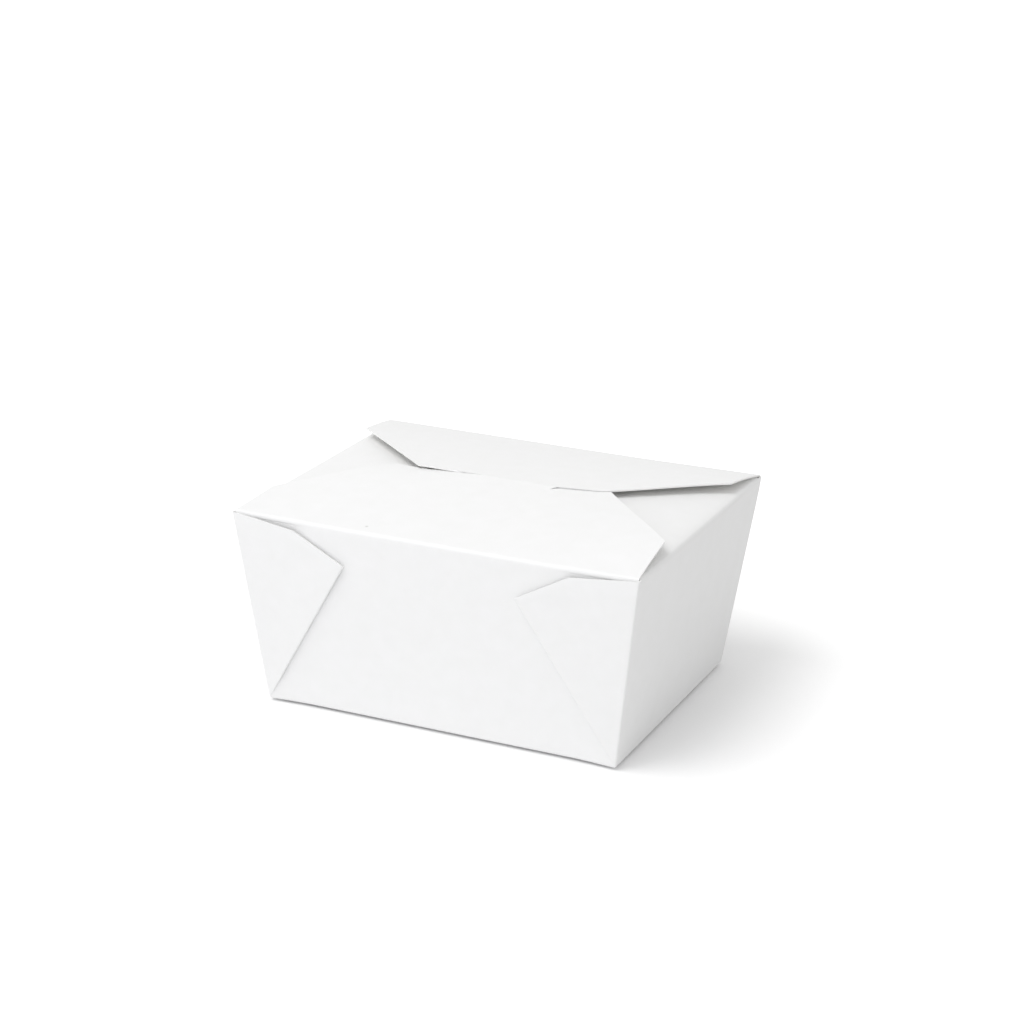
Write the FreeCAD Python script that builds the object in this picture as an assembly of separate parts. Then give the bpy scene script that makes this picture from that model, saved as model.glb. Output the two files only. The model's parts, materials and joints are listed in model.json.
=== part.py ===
import FreeCAD, Part
import math
import os

# A folded paperboard food box with four glued corner webs, two side flaps and two main flaps
# that lock over them. Millimetres, +Z up, origin on the table under the middle of the base.
# The front is -Y. Widths are taken over the glued webs, lengths over the side walls.

board = 0.45              # thickness of the board
top_length = 130.0        # along X, at the height of the main folds
top_width = 105.0         # along Y, over the webs
base_length = 114.0
base_width = 90.0
height = 62.0             # table to the main folds
corner_radius = 0.9       # outside of the upright folds
base_fold_radius = 0.5    # outside of the folds round the base
web_layers = 2            # each web is folded double against its wall

# Corner webs, seen square on to the front or back wall
web_drop = 0.7            # below the main fold at the corner
web_shoulder_inset = 20.6  # from the corner to the bend of the cut edge
web_shoulder_drop = 2.2
web_apex_inset = 36.8     # from the corner to the tip of the web
web_apex_drop = 11.2
web_mouth = 0.22          # how far the outer layer stands off at its cut edge
web_mouth_depth = 4.0
web_mouth_corner_gap = 3.0

# Main flaps: height over the folds is a straight rise to the middle, a bow between, and the
# bend at the lock, where the front flap dips left of its slit and lifts right of it
fold_gap = 0.12           # between a wall's top edge and the round root of its flap
flap_end_gap = 0.4        # fold's end to the corner
tip_inset = 1.8           # flap tip to the side of the box
tip_reach = 20.7          # flap tip from its fold
lid_rise = 5.0
front_left_bow = (-0.36, -0.1, 0.3)
front_right_bow = (0.8, 1.2, 1.95)
slit_bow = 0.5
back_bow = (0.55, 0.5, 0.4, 0.8, 1.44)
front_left_dip = (1.2, 1.2, 0.65)
front_right_lift = (0.75, 0.9, 0.9)
slit_step = 0.6           # dip and lift of the two sides at the slit
front_corner_x = 35.5     # free corners of the flaps
back_corner_x = 28.6
front_overlap = 1.7       # past the middle, where the front flap lies on top
back_overlap = 1.1        # past the middle, where the back flap lies on top
under_gap = 0.1           # short of the middle, where a flap lies underneath
slit_x = 17.0
slit_length = 13.3        # forward from the back flap's edge
slit_width = 0.15
slit_corner_radius = 4.5
slit_cover = 0.8          # how far the back flap's edge runs on under the front flap, past the slit

# Side flaps, under the main flaps
side_fold_drop = 0.8      # their folds lie lower than the main folds
side_fold_radius = 0.7    # outside of the fold
side_flap_length = 36.0
side_flap_root_inset = 4.5    # from the corner to the flap's edge, along the fold
side_flap_taper = 35.0        # how much narrower each edge is at the free end
side_rise_left = 2.6
side_rise_right = 3.6
side_bulge_left = 0.5
side_bulge_right = 0.6
side_strip = 6.0              # top strip of the wall that is made with its flap

web_depth = web_layers * board
body_top_width = top_width - 2 * web_depth
flare_x = (top_length - base_length) / 2 / height     # outward lean of the walls
flare_y = (top_width - base_width) / 2 / height
pivot_y = body_top_width / 2 - board / 2
pivot_z = height - board / 2
half_span = pivot_y                   # from a fold to the middle of the box
wall_top = height - board - fold_gap
slit_end_y = -back_overlap - slit_length
side_fold_z = height - side_fold_drop
over = 5.0                            # how far a cutting body reaches past what it cuts


def vec(x, y, z):
    return FreeCAD.Vector(x, y, z)


def plan_prism(points, bottom, top):
    """Upright prism on a plan outline; a pair of points in the list is an arc's middle and end."""
    edges = []
    start = points[0]
    for point in points[1:] + [points[0]]:
        if len(point) == 2 and isinstance(point[0], tuple):
            middle, end = point
            arc = Part.Arc(vec(*start, bottom), vec(*middle, bottom), vec(*end, bottom))
            edges.append(arc.toShape())
            start = end
        else:
            edges.append(Part.makeLine(vec(*start, bottom), vec(*point, bottom)))
            start = point
    return Part.Face(Part.Wire(edges)).extrude(vec(0, 0, top - bottom))


def flared_block(inset_x, inset_y, radius, bottom, top):
    """Block with the flare of the box, set in from its outer faces, upright edges rounded."""
    rings = []
    for z in (bottom, top):
        x = base_length / 2 + flare_x * z - inset_x
        y = base_width / 2 + flare_y * z - inset_y
        rings.append([vec(-x, -y, z), vec(x, -y, z), vec(x, y, z), vec(-x, y, z)])
    low, high = rings
    outlines = [low[::-1], high]
    for index in range(4):
        following = (index + 1) % 4
        outlines.append([low[index], low[following], high[following], high[index]])
    faces = [Part.Face(Part.makePolygon(outline + outline[:1])) for outline in outlines]
    block = Part.makeSolid(Part.makeShell(faces))
    upright = [edge for edge in block.Edges if edge.BoundBox.ZLength > (top - bottom) / 2]
    return block.makeFillet(radius, upright)


def round_base(block):
    edges = [edge for edge in block.Edges if abs(edge.BoundBox.ZMax) < 0.001]
    return block.makeFillet(base_fold_radius, edges)


def web_outline(lowered):
    """Face of one web in the XZ plane, right-hand side, its cut edges lowered by so much."""
    corner_x = top_length / 2
    points = [
        (base_length / 2, 0.0),
        (corner_x - web_apex_inset, height - web_apex_drop - lowered),
        (corner_x - web_shoulder_inset, height - web_shoulder_drop - lowered),
        (corner_x, height - web_drop - lowered),
        (corner_x + over, height - web_drop - lowered),
        (corner_x + over, -over),
        (base_length / 2, -over),
    ]
    corners = [vec(x, -top_width, z) for x, z in points]
    return Part.Face(Part.makePolygon(corners + corners[:1]))


def both_sides(solid):
    return solid.fuse(solid.mirror(vec(0, 0, 0), vec(1, 0, 0)))


def webs():
    """The four doubled webs on the outside of the front and back walls, mouths cut open."""
    reach = vec(0, 2 * top_width, 0)
    skin = round_base(flared_block(0, 0, corner_radius, 0, height))
    pads = skin.common(both_sides(web_outline(0).extrude(reach)))
    rim = web_outline(0).extrude(reach).cut(web_outline(web_mouth_depth).extrude(reach))
    rim = rim.cut(Part.makeBox(over * 2, 4 * top_width, 2 * height,
                               vec(top_length / 2 - web_mouth_corner_gap, -2 * top_width, 0)))
    layer = flared_block(0, board, corner_radius, 0, height)
    mouth = layer.cut(flared_block(-over, board + web_mouth, corner_radius, 0, height))
    return pads.cut(mouth.common(both_sides(rim)))


def side_wall_flap(side, rise, bulge):
    """Top strip of a side wall, its fold and the side flap, as one bent strip."""
    fold_x = top_length / 2 - flare_x * side_fold_drop
    low = vec(fold_x - flare_x * side_strip, 0, side_fold_z - side_strip)
    fold = vec(fold_x, 0, side_fold_z)
    free = vec(fold_x - side_flap_length, 0, side_fold_z + rise)
    crown = vec(fold_x - side_flap_length / 2, 0, side_fold_z + rise / 2 + bulge)
    inner_low = vec(low.x - board, 0, low.z)
    inner_fold = vec(fold.x - board, 0, fold.z - board)
    inner_free = vec(free.x, 0, free.z - board)
    inner_crown = vec(crown.x, 0, crown.z - board)
    edges = [
        Part.makeLine(low, fold),
        Part.Arc(fold, crown, free).toShape(),
        Part.makeLine(free, inner_free),
        Part.Arc(inner_free, inner_crown, inner_fold).toShape(),
        Part.makeLine(inner_fold, inner_low),
        Part.makeLine(inner_low, low),
    ]
    half_root = body_top_width / 2 - side_flap_root_inset
    band = Part.Face(Part.Wire(edges)).extrude(vec(0, 2 * half_root, 0))
    band.translate(vec(0, -half_root, 0))
    outer = [edge for edge in band.Edges
             if edge.BoundBox.XLength < 0.01 and abs(edge.CenterOfMass.x - fold.x) < 0.01
             and abs(edge.CenterOfMass.z - fold.z) < 0.01]
    band = band.makeFillet(side_fold_radius, outer)
    half_free = half_root - side_flap_taper
    outline = [
        (top_length, -half_root), (top_length, half_root), (fold.x - side_fold_radius, half_root),
        (free.x - over, half_free - over * side_flap_taper / side_flap_length),
        (free.x - over, -half_free + over * side_flap_taper / side_flap_length),
        (fold.x - side_fold_radius, -half_root),
    ]
    band = band.common(plan_prism(outline, 0, 2 * height))
    if side < 0:
        band = band.mirror(vec(0, 0, 0), vec(1, 0, 0))
    return band, half_root


def carton():
    """Base, walls, webs and side flaps: everything of the sheet but the two main flaps."""
    shell = round_base(flared_block(0, web_depth, corner_radius, 0, wall_top))
    shell = shell.fuse(webs())
    inner_radius = corner_radius - board
    shell = shell.cut(flared_block(board, web_depth + board, inner_radius, board, height + over))
    for side, rise, bulge in ((-1, side_rise_left, side_bulge_left),
                              (1, side_rise_right, side_bulge_right)):
        band, half_root = side_wall_flap(side, rise, bulge)
        notch = Part.makeBox(over, 2 * half_root, 2 * over)
        notch.translate(vec(0, -half_root, side_fold_z - board - side_fold_radius))
        notch.translate(vec(side * top_length / 2 - over / 2, 0, 0))
        shell = shell.cut(notch).fuse(band)
    return shell.removeSplitter()


def flap_height(reach, bow, lock):
    """Height of a main flap over its fold, at a distance from the fold."""
    share = reach / half_span
    slit_share = (half_span + slit_end_y) / half_span
    bend = max(0.0, (share - slit_share) / (1 - slit_share)) ** 2
    return lid_rise * share + 4 * bow * share * (1 - share) + lock * bend


def flap_section(x, bow, lock):
    """Section of the front flap across the box: round root, bowed faces, square free edge."""
    slit_reach = half_span + slit_end_y
    end_reach = half_span + over

    def face_curve(first, last, offset):
        count = 5
        points = []
        for index in range(count):
            reach = first + (last - first) * index / (count - 1)
            z = pivot_z + flap_height(reach, bow, lock) + offset
            points.append(vec(x, -pivot_y + reach, z))
        curve = Part.BSplineCurve()
        curve.interpolate(points)
        return curve.toShape()

    upper_root = face_curve(0, slit_reach, board / 2)
    upper_free = face_curve(slit_reach, end_reach, board / 2)
    lower_root = face_curve(slit_reach, 0, -board / 2)
    lower_free = face_curve(end_reach, slit_reach, -board / 2)
    root = Part.Arc(lower_root.lastVertex(True).Point, vec(x, -pivot_y - board / 2, pivot_z),
                    upper_root.firstVertex(True).Point).toShape()
    free = Part.makeLine(upper_free.lastVertex(True).Point, lower_free.firstVertex(True).Point)
    return Part.Wire([root, upper_root, upper_free, free, lower_free, lower_root])


def flap_sheet(stations):
    return Part.makeLoft([flap_section(*station) for station in stations], True, False)


def flap_side(side, corner_x, overlap):
    """Fold end, tip and free corner of a main flap on one side, in plan, front flap."""
    fold_end = side * (top_length / 2 - flap_end_gap)
    tip_x = side * (top_length / 2 - tip_inset)
    tip_y = -half_span + tip_reach
    return [
        (fold_end, -half_span - over),
        (fold_end, -half_span),
        (tip_x, tip_y),
        (side * corner_x, overlap),
    ]


def front_flap():
    """Front flap: left of its slit it lies under the back flap, right of it on top."""
    half_top = top_length / 2
    bottom = height - 2 * over
    top = height + 4 * over
    left = flap_sheet([
        (-half_top, front_left_bow[0], -front_left_dip[0]),
        (-back_corner_x, front_left_bow[1], -front_left_dip[1]),
        (-6.0, front_left_bow[2], -front_left_dip[2]),
        (slit_x, slit_bow, -slit_step),
        (slit_x + 2 * slit_corner_radius, slit_bow, -slit_step),
    ])
    right = flap_sheet([
        (slit_x, slit_bow, slit_step),
        (slit_x + slit_corner_radius, front_right_bow[0], front_right_lift[0]),
        (front_corner_x, front_right_bow[1], front_right_lift[1]),
        (half_top, front_right_bow[2], front_right_lift[2]),
    ])
    arc_low = -back_overlap - slit_corner_radius
    arc_x = slit_x + slit_corner_radius
    bulge = slit_corner_radius * math.sqrt(0.5)
    left_side = flap_side(-1, front_corner_x + front_overlap, -under_gap)
    left_plan = left_side + [
        (arc_x, -under_gap),
        (arc_x, -back_overlap),
        ((arc_x - bulge, arc_low + bulge), (slit_x, arc_low)),
        (slit_x, -half_span - over),
    ]
    right_side = flap_side(1, front_corner_x, front_overlap)
    right_plan = right_side + [
        (arc_x + 2 * slit_corner_radius, front_overlap),
        (arc_x + slit_width, -back_overlap + slit_width),
        ((arc_x - bulge + slit_width, arc_low + bulge), (slit_x + slit_width, arc_low)),
        (slit_x + slit_width, slit_end_y),
        (slit_x, slit_end_y),
        (slit_x, -half_span - over),
    ]
    left = left.common(plan_prism(left_plan, bottom, top))
    right = right.common(plan_prism(right_plan, bottom, top))
    return left.fuse(right)


def back_flap():
    """Back flap: one smooth sheet, over the front flap on the left and under it on the right."""
    half_top = top_length / 2
    stations = [-half_top, -back_corner_x, 0.0, back_corner_x, half_top]
    sheet = flap_sheet([(-x, bow, 0.0) for x, bow in zip(reversed(stations), reversed(back_bow))])
    cover_x = slit_x + slit_corner_radius + slit_cover
    plan = flap_side(1, back_corner_x, back_overlap)
    plan += [
        (-cover_x, back_overlap),
        (-cover_x - slit_cover, -under_gap),
        (-back_corner_x - back_overlap, -under_gap),
    ]
    plan += list(reversed(flap_side(-1, back_corner_x, back_overlap)[:-1]))
    flap = sheet.common(plan_prism(plan, height - 2 * over, height + 4 * over))
    flap.rotate(vec(0, 0, 0), vec(0, 0, 1), 180)
    return flap


os.makedirs("parts", exist_ok=True)
pieces = {"carton": carton(), "front_flap": front_flap(), "back_flap": back_flap()}
for name, shape in pieces.items():
    shape = shape.Solids[0] if len(shape.Solids) == 1 else shape
    print(name, "solids", len(shape.Solids), "valid", shape.isValid(), "volume", round(shape.Volume, 1))
    shape.exportStep("parts/" + name + ".step")
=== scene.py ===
import json
import math

import bmesh
import bpy
from mathutils import Matrix, Vector, noise


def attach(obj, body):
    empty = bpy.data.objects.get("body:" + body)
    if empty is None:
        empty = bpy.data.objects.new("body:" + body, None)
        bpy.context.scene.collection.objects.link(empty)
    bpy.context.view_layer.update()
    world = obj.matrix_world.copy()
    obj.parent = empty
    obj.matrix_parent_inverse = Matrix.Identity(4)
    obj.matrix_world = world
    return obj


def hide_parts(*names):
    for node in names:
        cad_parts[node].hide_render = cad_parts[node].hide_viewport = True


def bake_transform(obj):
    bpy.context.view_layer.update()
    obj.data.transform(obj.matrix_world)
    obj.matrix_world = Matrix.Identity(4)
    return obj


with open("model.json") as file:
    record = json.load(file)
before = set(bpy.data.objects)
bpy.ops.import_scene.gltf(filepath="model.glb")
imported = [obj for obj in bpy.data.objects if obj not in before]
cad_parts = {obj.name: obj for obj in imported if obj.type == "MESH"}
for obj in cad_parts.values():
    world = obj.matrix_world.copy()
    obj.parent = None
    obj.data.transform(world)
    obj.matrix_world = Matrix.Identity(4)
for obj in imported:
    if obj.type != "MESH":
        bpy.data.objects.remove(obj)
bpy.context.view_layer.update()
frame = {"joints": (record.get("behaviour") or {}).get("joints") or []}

scene = bpy.context.scene
mm = 0.001

# The sheet the whole box is folded from, in millimetres
box = {
    "board": 0.45,            # clay-coated board, about 370 g/m2
    "topLength": 130.0,
    "topWidth": 105.0,        # over the webs
    "baseLength": 114.0,
    "baseWidth": 90.0,
    "height": 62.0,
    "cornerRadius": 0.6,
    "baseRadius": 0.9,
    "wallTop": 60.4,          # where the front and back walls hand over to the main flaps
    "webTop": 61.9,
    "sideWallTop": 60.4,      # where the side walls hand over to the side flaps
    "baseSag": 0.58,          # the middle of the base hangs this far below its edges
    "baseRise": 0.02,         # each row of the base's inner rim lies this much higher than the last
    "wallBow": 0.22,
    "waviness": 0.1,
    "waveLength": 22.0,
    "wallSeed": 3.7,          # seeds of the waves: front and back walls
    "sideSeed": 12,           # side walls
    "sideStretch": 1.2,       # the waves are this much shorter along the side walls
    "highCorner": 0.45,       # the box isn't quite square: its back right corner stands higher
    "highFrom": (20, 10, 50),     # where that starts, (x, y, z)
    "highOver": (45, 40, 11),     # and how much further on it is full
    "webRoom": 0.55,          # room between a web's top and the fold behind it
    "webRoomFrom": 38.0,      # it starts this far from the middle
    "webRoomOver": 8.0,
    "webRoomTo": 60.0,        # and ends this far out on the wall
    "webRoomToOver": 4.0,
    "webRoomLevel": 50.0,     # and starts at this height
    "webRoomLevelOver": 9.0,
    "rimLevel": 58.0,         # from here up the front and back walls' rows are closer
    "sideLevel": 57.5,        # from here up the side walls' rows are closer
    "rim": {"x": (64.9, 0.85), "y": (52.4, 0.64)},     # widest place, and how much of the last
    "rimBit": 0.5,                                     # half millimetre before it is kept
}
hinges = {joint["child"]: joint for joint in frame["joints"]}
board = box["board"]
flareX = (box["topLength"] - box["baseLength"]) / 2 / box["height"]
flareY = (box["topWidth"] - box["baseWidth"]) / 2 / box["height"]


def sideX(z):
    return box["baseLength"] / 2 + flareX * z


def webY(z):
    return box["baseWidth"] / 2 + flareY * z


def smooth(t):
    t = min(1.0, max(0.0, t))
    return t * t * (3 - 2 * t)


def between(x, stations):
    # eased value at x, from (x, value) stations
    if x <= stations[0][0]:
        return stations[0][1]
    for (x0, v0), (x1, v1) in zip(stations, stations[1:]):
        if x <= x1:
            return v0 + (v1 - v0) * smooth((x - x0) / (x1 - x0))
    return stations[-1][1]


def linear(x, points):
    # the same along straight lines
    if x <= points[0][0]:
        return points[0][1]
    for (x0, v0), (x1, v1) in zip(points, points[1:]):
        if x <= x1:
            return v0 + (v1 - v0) * (x - x0) / (x1 - x0)
    return points[-1][1]


def settled(x, y, z):
    # height after the box has gone out of square
    rise = box["highCorner"]
    for value, start, over in zip((x, y, z), box["highFrom"], box["highOver"]):
        rise *= smooth((value - start) / over)
    return z + rise


def webRoom(x):
    return box["webRoom"] * smooth((abs(x) - box["webRoomFrom"]) / box["webRoomOver"])


# Colours and materials

def hexColour(code):
    channels = [int(code[i:i + 2], 16) / 255 for i in (1, 3, 5)]
    return [c / 12.92 if c <= 0.04045 else ((c + 0.055) / 1.055) ** 2.4 for c in channels] + [1.0]


def addNode(tree, kind, inputs=None, links=None, **settings):
    node = tree.nodes.new(kind)
    for name, value in settings.items():
        setattr(node, name, value)
    for name, value in (inputs or {}).items():
        node.inputs[name].default_value = value
    for name, source in (links or {}).items():
        tree.links.new(source, node.inputs[name])
    return node


def newMaterial(name):
    material = bpy.data.materials.new(name)
    material.use_nodes = True
    material.node_tree.nodes.clear()
    return material, material.node_tree


coat = {
    "colour": "#f6f6f6",      # clay coat
    "shade": "#f1f1f0",       # where the coat is thin over the fibres
    "rawColour": "#f2f1ee",   # uncoated inside of the board
    "coreColour": "#eeedea",  # and its fibres
    "edgeColour": "#f6f6f4",  # bleached fibres at a cut edge
    "mottleSize": 5.0,        # cloudiness of the fibres under the coat, mm
    "fibreSize": 0.5,         # drawn coarse: real fibres are 0.03 mm wide and wouldn't show
    "fibreDepth": 0.02,       # relief of the fibres, mm
    "mottleDepth": 0.12,      # and of the clouds
    "finish": (0.5, 0.5),     # roughness and strength of the relief: coat
    "rawFinish": (0.75, 0.9),     # inside
    "edgeFinish": (0.9, 1.0),     # cut edge
    "glossSpread": (-0.06, 0.08),     # the roughness varies by this much with the fibres
    "fleck": (-22.6, -47.2, 62.72),   # one grey fibre bundle under the coat, on the front flap
    "fleckSize": (0.15, 0.7),     # its dark middle and where it ends, mm
    "fleckColour": "#d2d2cf",
}


def boardMaterial(name, colour, shade, finish):
    # coated folding board: an even satin white, cloudy at a few millimetres where fibres bunch
    roughness, bump = finish
    material, tree = newMaterial(name)
    place = addNode(tree, "ShaderNodeTexCoord")
    cloud = addNode(tree, "ShaderNodeTexNoise", {
        "Scale": 1 / (coat["mottleSize"] * mm), "Detail": 4.0, "Roughness": 0.6},
        {"Vector": place.outputs["Object"]})
    tone = addNode(tree, "ShaderNodeMix", {}, {"Factor": cloud.outputs["Fac"]}, data_type="RGBA")
    tone.inputs["A"].default_value = hexColour(shade)
    tone.inputs["B"].default_value = hexColour(colour)
    fibre = addNode(tree, "ShaderNodeTexNoise", {
        "Scale": 1 / (coat["fibreSize"] * mm), "Detail": 5.0, "Roughness": 0.7},
        {"Vector": place.outputs["Object"]})
    relief = addNode(tree, "ShaderNodeBump", {"Strength": bump, "Distance": coat["fibreDepth"] * mm},
                     {"Height": fibre.outputs["Fac"]})
    wave = addNode(tree, "ShaderNodeBump", {"Strength": bump, "Distance": coat["mottleDepth"] * mm},
                   {"Height": cloud.outputs["Fac"], "Normal": relief.outputs["Normal"]})
    low, high = coat["glossSpread"]
    satin = addNode(tree, "ShaderNodeMapRange", {
        "To Min": roughness + low, "To Max": roughness + high}, {"Value": fibre.outputs["Fac"]})
    near = addNode(tree, "ShaderNodeVectorMath", {1: [c * mm for c in coat["fleck"]]},
                   {0: place.outputs["Object"]}, operation="DISTANCE")
    dark, clear = coat["fleckSize"]
    spot = addNode(tree, "ShaderNodeMapRange", {
        "From Min": dark * mm, "From Max": clear * mm, "To Min": 1.0, "To Max": 0.0},
        {"Value": near.outputs["Value"]})
    tint = addNode(tree, "ShaderNodeMix", {}, {
        "Factor": spot.outputs["Result"], "A": tone.outputs["Result"]}, data_type="RGBA")
    tint.inputs["B"].default_value = hexColour(coat["fleckColour"])
    surface = addNode(tree, "ShaderNodeBsdfPrincipled", {"IOR": 1.45}, {
        "Base Color": tint.outputs["Result"], "Roughness": satin.outputs["Result"],
        "Normal": wave.outputs["Normal"]})
    addNode(tree, "ShaderNodeOutputMaterial", {}, {"Surface": surface.outputs["BSDF"]})
    return material


coatedBoard = boardMaterial("coatedBoard", coat["colour"], coat["shade"], coat["finish"])
rawBoard = boardMaterial("rawBoardInside", coat["rawColour"], coat["coreColour"], coat["rawFinish"])
cutEdge = boardMaterial("cutBoardEdge", coat["edgeColour"], coat["colour"], coat["edgeFinish"])
sheetMaterials = [coatedBoard, rawBoard, cutEdge]
outside, inside, edge = 0, 1, 2     # places in that list


# Mesh helpers

meshFinish = {
    "doubles": 0.004,         # points closer than this are one, mm
    "slivers": 0.002,
    "sharpAngle": 38,         # folds over this stay crisp, degrees
}


def finishPiece(name, bm):
    bmesh.ops.remove_doubles(bm, verts=bm.verts, dist=meshFinish["doubles"])
    bmesh.ops.dissolve_degenerate(bm, edges=bm.edges, dist=meshFinish["slivers"])
    bmesh.ops.recalc_face_normals(bm, faces=bm.faces)
    bmesh.ops.scale(bm, vec=(mm, mm, mm), verts=bm.verts)
    mesh = bpy.data.meshes.new(name)
    bm.to_mesh(mesh)
    bm.free()
    for material in sheetMaterials:
        mesh.materials.append(material)
    mesh.shade_smooth()
    mesh.set_sharp_from_angle(angle=math.radians(meshFinish["sharpAngle"]))
    piece = bpy.data.objects.new(name, mesh)
    scene.collection.objects.link(piece)
    print(name, len(mesh.polygons), "faces")
    return piece


def strip(bm, rows, kind):
    # quads between rows of bmesh vertices
    for low, high in zip(rows, rows[1:]):
        for i in range(len(low) - 1):
            corners = []
            for v in (low[i], low[i + 1], high[i + 1], high[i]):
                if v not in corners:
                    corners.append(v)
            if len(corners) > 2 and bm.faces.get(corners) is None:
                bm.faces.new(corners).material_index = kind


def addRow(bm, points):
    return [bm.verts.new(p) for p in points]


# Carton: base, four walls, the webs folded double over the front and back walls, and the side flaps

web = {
    "apex": {1: (26.7, 50.1), -1: (28.2, 50.3)},        # tip of a web, (x, z), right and left
    "shoulder": {1: (43.6, 59.6), -1: (44.4, 59.1)},
    "apexLevel": 49.3,          # height on the upright corner of the row that ends at the tip
    "apexHalf": 0.25,           # the fold turns into the cut edge over this much each way
    "setBack": 0.35,            # the inner layer's cut edge stops this far inside the outer one
    "lift": 0.45,               # how far the outer layer springs off at the tip
    "liftTop": 0.16,            # and at the shoulder
    "liftLow": 0.23,            # and along the diagonal fold
    "liftLowLevels": (3, 10),   # between these it comes up
    "liftReach": 16.0,          # and it fades out this far from the free side
    "glueGap": 0.03,
    "footLevel": 1.5,           # where it runs out, just over the round bottom edge
    "thinning": 0.85,           # how much thinner it gets towards the bottom corner
    "thinReach": 14.0,          # over this length
    "startFrom": 1.6,           # and where it starts there
    "startOver": 1.1,
    "setBackShare": 0.962,      # part of the way from tip to shoulder that the set back row reaches
    "ledge": 0.1,               # width of the step between the inner and the outer cut edge
    "ledgeOver": 1.02,
    "cornerHold": 1.2,          # the two cut edges meet within this length of the upright corner
    "shortRow": 3.0,            # rows shorter than this lie flat
    "ledgeShares": (0.94, 0.96, 0.985),     # the last columns of a row, before its end
    "edgeSteps": 7,
    "edgeNip": 0.05,            # the cut edge's faces stay this share clear of its rims
}
sideFlap = {
    "foldZ": 61.4,
    "foldRadius": 1.0,
    "rootHalf": 50.4,           # half its width at the fold
    "neckHalf": 45.0,           # and just inside, where its 45 degree edges start
    "endHalf": 12.1,
    "neckReach": 1.5,           # that far in from the fold
    "foldTaper": 0.5,           # it narrows by this within the fold
    "length": 36.0,
    "rise": {1: 3.5, -1: 2.4},  # free end over the fold, right and left
    "bulge": {1: 1.2, -1: 0.5},
    "overlap": 0.3,             # the side wall's rows have one more point this far out
    "foldSteps": 9,
    "lengthSteps": 18,
}
# rows and columns of the carton's mesh, closer together near the folds
sideSteps = 13
cornerSteps = 6
baseSteps = 6
baseScales = (0.0, 0.2, 0.4, 0.6, 0.8, 0.95)
wallShares = [math.sin(math.pi / 2 * i / 12) * 0.72 for i in range(13)] + [0.79, 0.86, 0.93, 1.0]
webShares = [0, 0.05, 0.13, 0.25, 0.4, 0.55, 0.7, 0.83, 0.92]
wallLevels = [
    web["footLevel"], 2.8, 4.5, 7, 10, 14, 19, 24, 29, 34, 39, 43.5, 47,
    web["apexLevel"] - web["apexHalf"], web["apexLevel"], web["apexLevel"] + web["apexHalf"],
    51.5, 53.5, 55.5, box["sideLevel"], 58.6, 59.4,
    box["webTop"] - web["setBack"] - 0.12, box["webTop"] - web["setBack"], box["webTop"]]


def merge(x, z):
    # the two layers of a web start from nothing at the bottom corner
    away = math.hypot(box["baseLength"] / 2 - abs(x), z)
    thick = 1 - web["thinning"] * (1 - smooth(away / web["thinReach"]))
    return thick * smooth((away - web["startFrom"]) / web["startOver"])


def bow(x, z, seed):
    # walls are never quite flat: a belly, and slow waves; x is the true place along the wall
    height = math.sin(math.pi * min(1, max(0, z / box["height"])))
    belly = box["wallBow"] * (1 - min(1, abs(x) / (box["topLength"] / 2)) ** 2) * height
    place = Vector((x / box["waveLength"], z / box["waveLength"], seed))
    return belly + box["waviness"] * noise.noise(place) * height


def wallSkin(x, z, quarter):
    swell = bow(x * quarter[0], z, quarter[1] * box["wallSeed"])
    return webY(z) - 2 * board * merge(x, z) + swell


def gapTo(point, a, b):
    # distance of a point from a line between two points
    along = [b[0] - a[0], b[1] - a[1]]
    t = (point[0] - a[0]) * along[0] + (point[1] - a[1]) * along[1]
    t = min(1.0, max(0.0, t / (along[0] ** 2 + along[1] ** 2)))
    return math.dist(point, (a[0] + along[0] * t, a[1] + along[1] * t))


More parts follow.
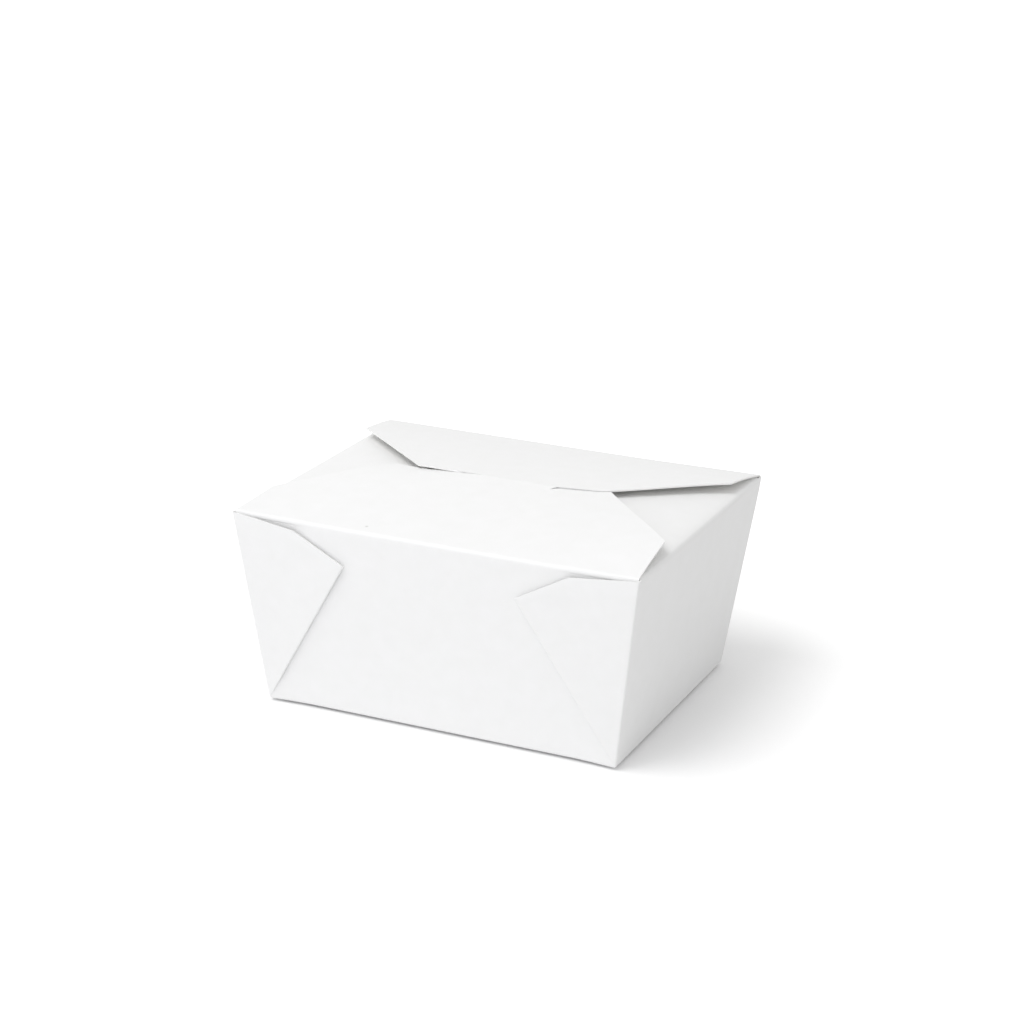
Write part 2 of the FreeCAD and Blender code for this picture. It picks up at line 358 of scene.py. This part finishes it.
def webRow(level, quarter):
    # one row of a web, from the upright corner to its free side: back of the sheet, free side, front
    top, apexLevel, setBack = box["webTop"], web["apexLevel"], web["setBack"]
    corner = (sideX(level) - box["cornerRadius"], level)
    cornerTop = (sideX(top) - box["cornerRadius"], top)
    footLevel = min(level, web["footLevel"])
    foot = (sideX(footLevel) - box["cornerRadius"], footLevel)
    apex, shoulder = web["apex"][quarter[0]], web["shoulder"][quarter[0]]
    if level <= apexLevel:
        share, a, b = (level - footLevel) / (apexLevel - footLevel), foot, apex
    else:
        share = linear(level, [(apexLevel, 0), (top - setBack, web["setBackShare"]), (top, 1.0)])
        a, b = apex, shoulder
    free = (a[0] + (b[0] - a[0]) * share, a[1] + (b[1] - a[1]) * share)
    length = max(1e-6, math.dist(corner, free))
    cut = smooth((level - apexLevel + web["apexHalf"]) / (2 * web["apexHalf"]))
    lowStart, lowFull = web["liftLowLevels"]
    spring = linear(level, [(lowStart, 0), (lowFull, web["liftLow"]),
                            (apexLevel - web["liftReach"], web["liftLow"]),
                            (apexLevel, web["lift"]), (top, web["liftTop"])])
    settle = smooth(length / web["shortRow"])
    hold = max(0.0, 1 - setBack / length)
    inset = min(length, board * (1 - cut) * settle) / length

    def at(share, inward=0.0):
        share = share - inward / length
        return (corner[0] + (free[0] - corner[0]) * share, corner[1] + (free[1] - corner[1]) * share)

    def sprung(point):
        return spring * smooth(1 - math.dist(point, free) / min(web["liftReach"], length))

    def backOffset(point):
        away = min(gapTo(point, apex, shoulder), gapTo(point, shoulder, cornerTop))
        opened = smooth((setBack * web["ledgeOver"] + web["ledge"] - away) / web["ledge"])
        opened *= smooth(math.dist(point, cornerTop) / web["cornerHold"])
        thick = board * merge(*point)
        return web["glueGap"] * settle + opened * (thick - web["glueGap"]) + sprung(point)

    def solid(point, offset):
        x, z = point
        return (x, wallSkin(x, z, quarter) + offset, z)

    inner, outer, close = web["ledgeShares"]
    shares = webShares + [hold * close if hold > inner else inner, max(hold, outer), 1.0]
    back = []
    front = []
    for share in shares:
        point = at(share * (1 - inset))
        thick = 2 * board * merge(*point)
        back.append(solid(point, backOffset(point)))
        front.append(solid(point, thick + sprung(point)))
    # the free side is a round fold up to the tip, and a straight cut edge over it
    thick = 2 * board * merge(*free)
    low, high = backOffset(free), thick + sprung(free)
    radius, nip = thick / 2, web["edgeNip"]
    side = []
    for i in range(web["edgeSteps"]):
        t = (i + 0.5) / web["edgeSteps"]
        angle = math.pi * t
        inward = radius * (1 - math.sin(angle)) * (1 - cut)
        fold = radius * (1 - math.cos(angle)) + sprung(free)
        sawn = low + (high - low) * (nip + (1 - 2 * nip) * t)
        side.append(solid(at(1.0, min(inward, length)), fold + (sawn - fold) * cut))
    return back, side, front


def cornerArc(level, radius, centreX, centreY):
    points = []
    for i in range(1, cornerSteps + 1):
        angle = math.pi / 2 * i / cornerSteps
        points.append((centreX + radius * math.sin(angle), centreY + radius * math.cos(angle), level))
    return points


def sideMarks(start):
    # places along half a side wall that goes on as the side flap
    root = sideFlap["rootHalf"] * start / (webY(box["webTop"]) - box["cornerRadius"])
    marks = [root + sideFlap["overlap"], root]
    marks += [root * math.cos(math.pi / 2 * i / sideSteps) for i in range(1, sideSteps)]
    return marks + [0.0]


def sideColumn(level, start, inset, quarter):
    points = []
    for y in sideMarks(start):
        swell = bow(y * box["sideStretch"] * quarter[1], level, box["sideSeed"] + quarter[0])
        points.append((sideX(level) - inset + swell, y, level))
    return points


def cartonRows(level, quarter):
    # outer and inner skin of one quarter at a level, as lists of points
    radius, rim = box["cornerRadius"], box["rimLevel"]
    wallLevel = level
    if level >= rim:
        wallLevel = rim + (level - rim) * (box["wallTop"] - rim) / (box["webTop"] - rim)
    wallEnd = sideX(wallLevel) - radius
    outerWall = []
    for share in wallShares:
        x = wallEnd * share
        back = webRoom(x) * smooth((box["webRoomTo"] - x) / box["webRoomToOver"])
        back *= smooth((wallLevel - box["webRoomLevel"]) / box["webRoomLevelOver"])
        outerWall.append((x, wallSkin(x, wallLevel, quarter) - back, wallLevel))
    endX = sideX(level) - radius
    back, side, front = webRow(level, quarter)
    back[0] = outerWall[-1]
    cornerY = webY(level) + bow(endX * quarter[0], level, quarter[1] * box["wallSeed"]) - radius
    corner = [front[0]] + cornerArc(level, radius, endX, cornerY)
    corner += sideColumn(level, cornerY, 0, quarter)
    outer = {"wall": outerWall, "back": back, "free": side, "front": front, "corner": corner}
    innerWall = [(x, y - board, z) for x, y, z in outerWall]
    tight = radius - board
    innerY = wallSkin(endX, level, quarter) - board - tight
    corner = [innerWall[-1]] + cornerArc(level, tight, endX, innerY)
    corner += sideColumn(level, innerY, board, quarter)
    return outer, {"wall": innerWall, "corner": corner}


def lowered(points, level):
    # the side wall hands over to its flap lower down than the other walls end
    top, start = box["webTop"], box["sideLevel"]
    if level < start:
        return points
    drop = (level - start) * (top - box["sideWallTop"]) / (top - start)
    result = points[:-sideSteps - 1]
    for x, y, z in points[-sideSteps - 1:]:
        result.append((x - flareX * drop, y, z - drop))
    return result


def sideFlapRows(start, sign):
    # the flap's skins, going on from the side wall's top rows
    corner = Vector((sideX(sideFlap["foldZ"]), sideFlap["foldZ"]))
    radius, length = sideFlap["foldRadius"], sideFlap["length"]
    rise, bulge = sideFlap["rise"][sign], sideFlap["bulge"][sign]

    def top(reach):
        t = reach / length
        early = math.sqrt(t)
        return Vector((corner.x - reach, corner.y + rise * t + 4 * bulge * early * (1 - early)))

    finish = top(radius)
    line = []
    for i in range(1, sideFlap["foldSteps"] + 1):
        t = i / sideFlap["foldSteps"]
        line.append(start * (1 - t) ** 2 + corner * 2 * t * (1 - t) + finish * t ** 2)
    steps = sideFlap["lengthSteps"]
    line += [top(radius + (length - radius) * i / steps) for i in range(1, steps + 1)]
    rootHalf = sideFlap["rootHalf"]
    halves = [(0, rootHalf), (radius, rootHalf - sideFlap["foldTaper"]),
              (radius + sideFlap["neckReach"], sideFlap["neckHalf"]), (length, sideFlap["endHalf"])]
    outerRows = []
    innerRows = []
    marks = sideMarks(webY(box["webTop"]) - box["cornerRadius"])[1:]
    for i, point in enumerate(line):
        tangent = (line[min(i + 1, len(line) - 1)] - (line[i - 1] if i else start)).normalized()
        inward = Vector((-tangent.y, tangent.x)) * board
        reach = max(0.0, corner.x - point.x)
        scale = linear(reach, halves) / rootHalf
        outerRows.append([(point.x, y * scale, point.y) for y in marks])
        innerRows.append([(point.x + inward.x, y * scale, point.y + inward.y) for y in marks])
    return outerRows, innerRows


def drawnIn(value, rim):
    # the walls are drawn in a little just under the rim
    limit, share = rim
    start = limit - box["rimBit"]
    return value if value < start else start + (value - start) * share


def makeQuarter(bm, quarter):
    signX, signY = quarter
    sag, radius = box["baseSag"], box["baseRadius"]
    outerRows = {name: [] for name in ("wall", "back", "free", "front", "corner")}
    innerRows = {name: [] for name in ("wall", "corner")}

    def row(points):
        placed = []
        for x, y, z in points:
            x, y = drawnIn(x, box["rim"]["x"]) * signX, drawnIn(y, box["rim"]["y"]) * signY
            placed.append((x, y, settled(x, y, z)))
        return addRow(bm, placed)

    def add(outer, inner):
        for name in outerRows:
            outerRows[name].append(row(outer[name]))
        for name in innerRows:
            innerRows[name].append(row(inner[name]))

    # base, then its round edge, then the walls
    outerFoot, innerFoot = cartonRows(0.0, quarter)
    for scale in baseScales:
        low = sag * smooth(scale)
        flat = {name: [(x * scale, y * scale, low) for x, y, z in points]
                for name, points in outerFoot.items()}
        raised = {name: [(x * scale, y * scale, low + board) for x, y, z in points]
                  for name, points in innerFoot.items()}
        add(flat, raised)
    for i in range(baseSteps):
        angle = math.pi / 2 * i / (baseSteps - 1)
        z = sag + radius * (1 - math.cos(angle))
        back = radius * (1 - math.sin(angle))
        outer, inner = cartonRows(z, quarter)
        outer = {name: [(x - min(back, x), y - min(back, y), z) for x, y, _ in points]
                 for name, points in outer.items()}
        inner = {name: [(x, y, sag + board + box["baseRise"] * i) for x, y, _ in points]
                 for name, points in inner.items()}
        add(outer, inner)
    for level in wallLevels:
        outer, inner = cartonRows(level, quarter)
        outer["corner"] = lowered(outer["corner"], level)
        inner["corner"] = lowered(inner["corner"], level)
        add(outer, inner)
    for rows in outerRows.values():
        strip(bm, rows, outside)
    for rows in innerRows.values():
        strip(bm, rows, inside)
    for nameA, a, nameB, b in (("back", -1, "free", 0), ("free", -1, "front", -1)):
        strip(bm, [[r[a] for r in outerRows[nameA]], [r[b] for r in outerRows[nameB]]], outside)

    # cut edges
    last = {name: rows[-1] for name, rows in outerRows.items()}
    lastIn = {name: rows[-1] for name, rows in innerRows.items()}
    strip(bm, [last["wall"], lastIn["wall"]], edge)
    strip(bm, [last["front"], last["back"]], edge)
    bm.faces.new([last["back"][-1]] + last["free"] + [last["front"][-1]]).material_index = edge
    strip(bm, [last["corner"][:-sideSteps], lastIn["corner"][:-sideSteps]], edge)
    bm.faces.new([last["back"][0], last["front"][0], lastIn["wall"][-1]]).material_index = edge
    apexRow = len(baseScales) + baseSteps + wallLevels.index(web["apexLevel"])
    for points in outerRows["free"][apexRow:-1]:
        for face in points[web["edgeSteps"] // 2].link_faces:
            face.material_index = edge

    # half a side flap
    middle = last["corner"][-1].co
    flapOut, flapIn = sideFlapRows(Vector((abs(middle.x), middle.z)), signX)
    outSheet = [last["corner"][-sideSteps - 1:]] + [row(r) for r in flapOut]
    inSheet = [lastIn["corner"][-sideSteps - 1:]] + [row(r) for r in flapIn]
    strip(bm, outSheet, outside)
    strip(bm, inSheet, inside)
    strip(bm, [[r[0] for r in outSheet], [r[0] for r in inSheet]], edge)
    strip(bm, [outSheet[-1], inSheet[-1]], edge)


def makeCarton():
    bm = bmesh.new()
    for quarter in ((1, 1), (1, -1), (-1, 1), (-1, -1)):
        makeQuarter(bm, quarter)
    return finishPiece("cartonWalls", bm)


# A sheet of board bent over a grid of points: rows run away from the fold

def sheetPiece(bm, grid, leftFrom, rightFrom):
    # the grid is the middle of the sheet; the sides get a cut edge from the given rows on
    rows, columns = len(grid), len(grid[0])
    upper = []
    lower = []
    for r in range(rows):
        high = []
        low = []
        for c in range(columns):
            along = grid[min(r + 1, rows - 1)][c] - grid[max(r - 1, 0)][c]
            across = grid[r][min(c + 1, columns - 1)] - grid[r][max(c - 1, 0)]
            normal = across.cross(along).normalized()
            high.append(grid[r][c] + normal * board / 2)
            low.append(grid[r][c] - normal * board / 2)
        upper.append(addRow(bm, high))
        lower.append(addRow(bm, low))
    strip(bm, upper, outside)
    strip(bm, lower, inside)
    strip(bm, [upper[0], lower[0]], edge)
    strip(bm, [upper[-1], lower[-1]], edge)
    for first, column in ((leftFrom, 0), (rightFrom, -1)):
        sides = [[row[column] for row in sheet[first:]] for sheet in (upper, lower)]
        strip(bm, sides, edge)


# Main flaps

flaps = {
    # inset of the fold's end, inset of the side corner and its reach from the fold
    "tips": {"frontRight": (0.8, 1.3, 21.7), "frontLeft": (0.4, 1.8, 20.7),
             "backRight": (0.4, 2.4, 21.7), "backLeft": (0.4, 1.8, 20.7)},
    "rise": 5.3,                # the lid's middle over its folds
    "foldRadius": {True: 1.3, False: 0.75},     # front and back
    "foldLift": {True: 0.15, False: 0.5},       # how far a fold springs up over the wall
    "foldSlope": 0.1,
    "slitX": 16.0,
    "slitLength": 13.3,
    "slitRadius": 5.0,
    "slitGap": 0.03,
    "slitWeld": 0.06,           # closer than this the halves are one sheet, up to the slit
    "lockGap": 0.72,            # open part of the seam, right of the slit
    "lockShift": 0.3,           # it runs this far in front of the middle
    "gapFrom": 0.5,             # it opens along the slit's round corner, radians
    "gapOver": 0.35,
    "tongue": (2.0, 0.2),       # the left half runs on past the slit; and room to the back flap
    "frontOverlap": 1.1,
    "backOverlap": 1.1,
    "underGap": 0.1,
    "frontCornersX": (-37.1, 34.6),     # corners of the free edges, left and right
    "backCornersX": (-28.6, 31.6),
    "backCornerShort": 1.5,             # the right one ends this far short of the middle
}
# free edges between their corners, as (x, how far short of the middle)
frontLeftSeam = [(-17.0, 0.3), (-13.5, 1.64), (-6.0, 1.14)]
frontRightSeam = (29.5, -0.5)
backSeam = (29.3, 1.17)

# rows and columns of the flaps' meshes
grids = {
    "leftColumns": 56,
    "rightColumns": 30,
    "backColumns": 60,
    "frontStraight": 1.3,       # the last straight row ends this far before the slit's round corner
    "backStraight": 8.0,        # and this far short of the middle on the back flap
    "slopeReach": 2.0,          # the fold takes up the flap's slope over this
    "foldSteps": 8,
    "arcSteps": 10,
    "firstRow": 0.5,
    "rowStep": 3.0,
    "rowRoom": 1.2,             # no other row lies closer than this to one that has to be there
    "endShares": (0.25, 0.5, 0.75, 0.93, 1.0),
}
span = abs(hinges["front_flap"]["pos_m"][1]) / mm
pivotZ = hinges["front_flap"]["pos_m"][2] / mm
slitEnd = span - flaps["backOverlap"] - flaps["slitLength"]

# shape of the lid, as (x, mm): bows of the flaps, and how far their free edges dip or lift
frontLeftBow = [(-65, -0.36), (-28.6, -0.1), (-6, 0.3), (17, 0.5)]
frontRightBow = [(17, 0.5), (21.5, 0.8), (35.5, 1.2), (65, 1.95)]
frontLeftDip = [(-65, -1.2), (-28.6, -1.2), (-17, -0.62), (-13.5, -0.1), (-8, 0.25), (9, 0.3),
                (17, 0.2)]
frontLeftBend = [(-28.6, span - slitEnd), (-9, 5.0)]    # how far in from the free edge it dips
frontRightLift = [(17, 0.12), (21, -0.15), (30, -0.15), (35.5, 0.3), (65, 0.9)]
frontEdgeArch = [(40, 0), (65, 0.5)]
frontArchReach = [(0, 0), (20, 0.95), (24, 1), (40, 0.5), (span, 0)]    # share of it, along the reach
backBow = [(-65, 1.0), (-28.6, 0.6), (0, 0.4), (28.6, 0.8), (65, 1.6)]


def flapHeight(front, reach, belly, lock, bendLength=None):
    # height over the pivot at a reach from the fold
    share = reach / span
    bendLength = bendLength or span - slitEnd
    bend = max(0.0, (reach - span + bendLength) / bendLength) ** 2
    lift = flaps["foldLift"][front] * (1 - share)
    return lift + flaps["rise"] * share + 4 * belly * share * (1 - share) + lock * bend


def foldRow(index, front):
    # middle line of the sheet round a main fold, as (y off the pivot inwards, z over the pivot)
    radius = flaps["foldRadius"][front]
    outerCorner = Vector((-board / 2, board / 2 + flaps["foldLift"][front]))
    lean = Vector((flareY, -1)).normalized()
    start = outerCorner + lean * radius
    finish = outerCorner + Vector((1, flaps["foldSlope"])).normalized() * radius
    t = index / (grids["foldSteps"] - 1)
    point = start * (1 - t) ** 2 + outerCorner * 2 * t * (1 - t) + finish * t ** 2
    tangent = (outerCorner - start) * (1 - t) + (finish - outerCorner) * t
    normal = Vector((-tangent.y, tangent.x)).normalized()
    return point - normal * board / 2


def flapEdgeX(reach, tip, cornerX, cornerReach):
    half = box["topLength"] / 2
    foldInset, inset, tipReach = flaps["tips"][tip]
    return linear(reach, [(0, half - foldInset), (tipReach, half - inset), (cornerReach, cornerX)])


def placeFlap(x, reach, height, front):
    y = (1 if front else -1) * (reach - span)
    return Vector((x, y, settled(x, y, pivotZ + height)))


def besideSlit(reach):
    return reach > slitEnd + 0.01


def rowReaches(first, last):
    # reaches of the straight rows, with one at each side corner and at the slit's end
    reaches = [first]
    while reaches[-1] + grids["rowStep"] < last:
        reaches.append(reaches[-1] + grids["rowStep"])
    marks = sorted({tip[2] for tip in flaps["tips"].values()}) + [slitEnd]
    reaches = [r for r in reaches if min(abs(r - mark) for mark in marks) > grids["rowRoom"]]
    return sorted(reaches + marks + [last])


def flapGrid(count, leftX, rightX, heightAt, freeEdge, front, commonReach):
    # rows: wall strip, fold, then out to the free edge, given as (x, reach) for each column
    columns = [i / count for i in range(count + 1)]

    def across(reach):
        return [leftX(reach) + (rightX(reach) - leftX(reach)) * c for c in columns]

    grid = []
    foldPoints = [foldRow(i, front) for i in range(grids["foldSteps"])]
    foldReach = foldPoints[-1].x
    stripDrop = pivotZ + foldPoints[0].y - box["wallTop"]
    for share in (1, 0.5):
        point = foldPoints[0] + Vector((flareY, -1)) * stripDrop * share
        grid.append([placeFlap(x, point.x + webRoom(x), point.y, front) for x in across(0)])
    for point in foldPoints:
        settle = smooth((point.x + board) / (foldReach + board))
        row = []
        for x in across(0):
            slope = (heightAt(x, grids["slopeReach"]) - heightAt(x, 0.0)) / grids["slopeReach"]
            height = point.y + (slope - flaps["foldSlope"]) * max(0, point.x) * settle
            row.append(placeFlap(x, point.x + webRoom(x) * (1 - settle), height, front))
        grid.append(row)
    reaches = rowReaches(foldReach + grids["firstRow"], commonReach)
    for reach in reaches:
        grid.append([placeFlap(x, reach, heightAt(x, reach), front) for x in across(reach)])
    slitRow = len(grid) - 1 - len([r for r in reaches if besideSlit(r)])
    for t in grids["endShares"]:
        row = []
        for c, x0 in zip(columns, across(commonReach)):
            x1, reach1 = freeEdge(c)
            x = x0 + (x1 - x0) * t
            reach = commonReach + (reach1 - commonReach) * t
            row.append(placeFlap(x, reach, heightAt(x, reach), front))
        grid.append(row)
    return grid, slitRow


def alongPath(points, share):
    # point at a share of a path's length
    lengths = [0.0]
    for a, b in zip(points, points[1:]):
        lengths.append(lengths[-1] + math.dist(a, b))
    target = share * lengths[-1]
    for i in range(len(points) - 1):
        if target <= lengths[i + 1] + 1e-9:
            t = (target - lengths[i]) / (lengths[i + 1] - lengths[i])
            return tuple(p + (q - p) * t for p, q in zip(points[i], points[i + 1]))
    return points[-1]


def slitArc(gap, first=90):
    # round corner of the lock, from the free edge down into the slit, as (x, reach)
    radius = flaps["slitRadius"]
    centreX = flaps["slitX"] + radius
    centreReach = span - flaps["backOverlap"] - flaps["lockShift"] - radius
    points = []
    for i in range(grids["arcSteps"]):
        angle = math.radians(first) * (1 - i / (grids["arcSteps"] - 1))
        away = radius + gap * smooth((angle - flaps["gapFrom"]) / flaps["gapOver"])
        points.append((centreX - away * math.cos(angle), centreReach + away * math.sin(angle)))
    return points


def makeFrontFlap():
    # two halves, welded up to the slit
    bm = bmesh.new()
    slitX, slitGap = flaps["slitX"], flaps["slitGap"]
    lockReach = span - flaps["backOverlap"] - flaps["lockShift"]
    common = lockReach - flaps["slitRadius"] - grids["frontStraight"]
    leftX, rightX = flaps["frontCornersX"]
    leftReach, rightReach = span - flaps["underGap"], span + flaps["frontOverlap"]
    leftPath = [(leftX, leftReach)] + [(x, span - short) for x, short in frontLeftSeam]
    leftPath += [(slitX + flaps["tongue"][0], leftPath[-1][1])] + slitArc(flaps["lockGap"], 60)
    rightPath = [(x + slitGap, reach) for x, reach in reversed(slitArc(0))]
    rightPath += [(frontRightSeam[0], span - frontRightSeam[1]), (rightX, rightReach)]

    def leftHeight(x, reach):
        dip, bend = between(x, frontLeftDip), between(x, frontLeftBend)
        return flapHeight(True, reach, between(x, frontLeftBow), dip, bend)

    def rightHeight(x, reach):
        arch = between(x, frontEdgeArch) * linear(reach, frontArchReach)
        return flapHeight(True, reach, between(x, frontRightBow), between(x, frontRightLift)) + arch

    left, slitRow = flapGrid(
        grids["leftColumns"], lambda r: -flapEdgeX(r, "frontLeft", -leftX, leftReach),
        lambda r: slitX, leftHeight, lambda c: alongPath(leftPath, c), True, common)
    sheetPiece(bm, left, 0, slitRow)
    right, slitRow = flapGrid(
        grids["rightColumns"], lambda r: slitX + (slitGap if besideSlit(r) else 0),
        lambda r: flapEdgeX(r, "frontRight", rightX, rightReach),
        rightHeight, lambda c: alongPath(rightPath, c), True, common)
    sheetPiece(bm, right, slitRow, 0)
    weld = flaps["slitWeld"]
    joined = [v for v in bm.verts
              if abs(v.co.x - slitX) < slitGap + 0.01 and v.co.y < slitEnd - span + weld]
    bmesh.ops.remove_doubles(bm, verts=joined, dist=weld)
    return finishPiece("frontFlapSheet", bm)


def makeBackFlap():
    bm = bmesh.new()
    leftX, rightX = flaps["backCornersX"]
    leftReach, rightReach = span + flaps["backOverlap"], span - flaps["backCornerShort"]
    path = [(rightX, rightReach), (backSeam[0], span - backSeam[1])]
    for x, reach in slitArc(flaps["lockGap"]):
        if 2 * span - reach < leftReach:
            path.append((x, 2 * span - reach))
    path += [(flaps["slitX"] + sum(flaps["tongue"]), leftReach), (leftX, leftReach)]

    def height(x, reach):
        return flapHeight(False, reach, between(x, backBow), 0.0)

    grid, _ = flapGrid(
        grids["backColumns"], lambda r: flapEdgeX(r, "backRight", rightX, rightReach),
        lambda r: -flapEdgeX(r, "backLeft", -leftX, leftReach),
        height, lambda c: alongPath(path, c), False, span - grids["backStraight"])
    sheetPiece(bm, grid, 0, 0)
    return finishPiece("backFlapSheet", bm)


carton = makeCarton()
print("carton walls and webs made")
frontFlap = makeFrontFlap()
backFlap = makeBackFlap()
print("main flaps made")

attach(carton, "carton")
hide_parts("carton")
for piece, body, sign in ((frontFlap, "front_flap", 1), (backFlap, "back_flap", -1)):
    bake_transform(piece)
    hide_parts(body)

# Camera: a long lens from the front right, a little above the lid

camera = {
    "yaw": 23.86, "pitch": 19.10, "roll": 1.21,   # degrees
    "lens": 88.97, "sensor": 36,                  # mm
    "aside": -3.05, "up": -23.71, "away": 781.1,  # of the box's middle from the camera, mm
}


def makeCamera():
    yaw, pitch, roll = (math.radians(camera[k]) for k in ("yaw", "pitch", "roll"))
    level = Vector((math.cos(yaw), math.sin(yaw), 0))
    ahead = Vector((-math.sin(yaw), math.cos(yaw), 0))
    back = Vector((0, 0, math.sin(pitch))) - ahead * math.cos(pitch)
    upright = back.cross(level)
    right = level * math.cos(roll) + upright * math.sin(roll)
    up = upright * math.cos(roll) - level * math.sin(roll)
    place = (back * camera["away"] - right * camera["aside"] - up * camera["up"]) * mm
    place.z += box["height"] / 2 * mm
    data = bpy.data.cameras.new("camera")
    data.lens = camera["lens"]
    data.sensor_width = camera["sensor"]
    data.clip_start, data.clip_end = 0.01, 20
    view = bpy.data.objects.new("camera", data)
    turn = Matrix((right, up, back)).transposed().to_4x4()
    view.matrix_world = Matrix.Translation(place) @ turn
    scene.collection.objects.link(view)
    scene.camera = view


makeCamera()

# Floor and light

studio = {
    "key": {"power": 8.0, "size": 0.9, "place": (-0.375, -0.5625, 1.25),      # watts, metres
            "colour": "#ffffff"},
    "front": {"power": 0.47, "size": 0.55, "place": (-0.12, -0.66, 0.32),
              "colour": "#f2f4ff"},
    "aim": (0, 0, 0.03),
    "fill": 0.647,                 # strength of the even surround
    "floorColour": "#f6f6f6",
    "floorSize": 6,
    "floorDrop": 0.00012,          # metres under the base
    # painted light on the floor: a glow only the camera sees, weak close to the box so the shadow
    # there stays deep, and strong further off so the shadow's tail fades out early
    "paintedLightNear": 0.04,             # how much of the sweep's white is its own, close to the box
    "paintedLightFar": 0.52,             # and further off
    "liftStart": 0.06,             # metres from the box's middle
    "liftEnd": 0.2,
}
white = hexColour("#ffffff")


def softLight(name):
    lamp = studio[name]
    data = bpy.data.lights.new(name, "AREA")
    data.shape = "DISK"
    data.size = lamp["size"]
    data.energy = lamp["power"]
    data.color = hexColour(lamp["colour"])[:3]
    light = bpy.data.objects.new(name, data)
    light.location = lamp["place"]
    aim = Vector(studio["aim"]) - Vector(lamp["place"])
    light.rotation_euler = aim.to_track_quat("-Z", "Y").to_euler()
    scene.collection.objects.link(light)


def mixShaders(tree, share, first, second):
    mix = addNode(tree, "ShaderNodeMixShader", {}, {"Fac": share})
    tree.links.new(first, mix.inputs[1])
    tree.links.new(second, mix.inputs[2])
    return mix.outputs["Shader"]


def makeFloor():
    # a white sweep: it takes the box's shadow; a glow seen only by the camera, weak next to the box
    # and strong further off, is painted light that fades the shadow's far part and leaves plain white
    # beyond
    material, tree = newMaterial("whiteSweep")
    paper = addNode(tree, "ShaderNodeBsdfDiffuse", {"Color": hexColour(studio["floorColour"])})
    place = addNode(tree, "ShaderNodeTexCoord")
    away = addNode(tree, "ShaderNodeVectorMath", {}, {0: place.outputs["Object"]}, operation="LENGTH")
    lift = addNode(tree, "ShaderNodeMapRange", {
        "From Min": studio["liftStart"], "From Max": studio["liftEnd"],
        "To Min": studio["paintedLightNear"], "To Max": studio["paintedLightFar"]},
        {"Value": away.outputs["Value"]})
    # painted light: this camera-only glow grows with distance from the box and shortens the box's
    # shadow
    glow = addNode(tree, "ShaderNodeEmission", {"Color": white}, {"Strength": lift.outputs["Result"]})
    both = addNode(tree, "ShaderNodeAddShader", {}, {
        0: paper.outputs["BSDF"], 1: glow.outputs["Emission"]})
    path = addNode(tree, "ShaderNodeLightPath")
    sweep = mixShaders(tree, path.outputs["Is Camera Ray"],
                       paper.outputs["BSDF"], both.outputs["Shader"])
    addNode(tree, "ShaderNodeOutputMaterial", {}, {"Surface": sweep})
    bpy.ops.mesh.primitive_plane_add(size=studio["floorSize"], location=(0, 0, -studio["floorDrop"]))
    floor = bpy.context.object
    floor.name = "floor"
    floor.data.materials.append(material)


def makeSurround():
    # even light from all round, seen as plain white by the camera and in reflections
    world = bpy.data.worlds.new("surround")
    scene.world = world
    world.use_nodes = True
    tree = world.node_tree
    tree.nodes.clear()
    path = addNode(tree, "ShaderNodeLightPath")
    seen = path.outputs["Is Camera Ray"]
    for ray in ("Is Glossy Ray", "Is Transmission Ray"):
        either = addNode(tree, "ShaderNodeMath", {}, {0: seen, 1: path.outputs[ray]},
                         operation="MAXIMUM")
        seen = either.outputs[0]
    soft = addNode(tree, "ShaderNodeBackground", {"Color": white, "Strength": studio["fill"]})
    clear = addNode(tree, "ShaderNodeBackground", {"Color": white, "Strength": 1.0})
    sky = mixShaders(tree, seen, soft.outputs["Background"], clear.outputs["Background"])
    addNode(tree, "ShaderNodeOutputWorld", {}, {"Surface": sky})


makeFloor()
makeSurround()
softLight("key")
softLight("front")
scene.view_settings.view_transform = "Standard"
print("camera, floor and light made")
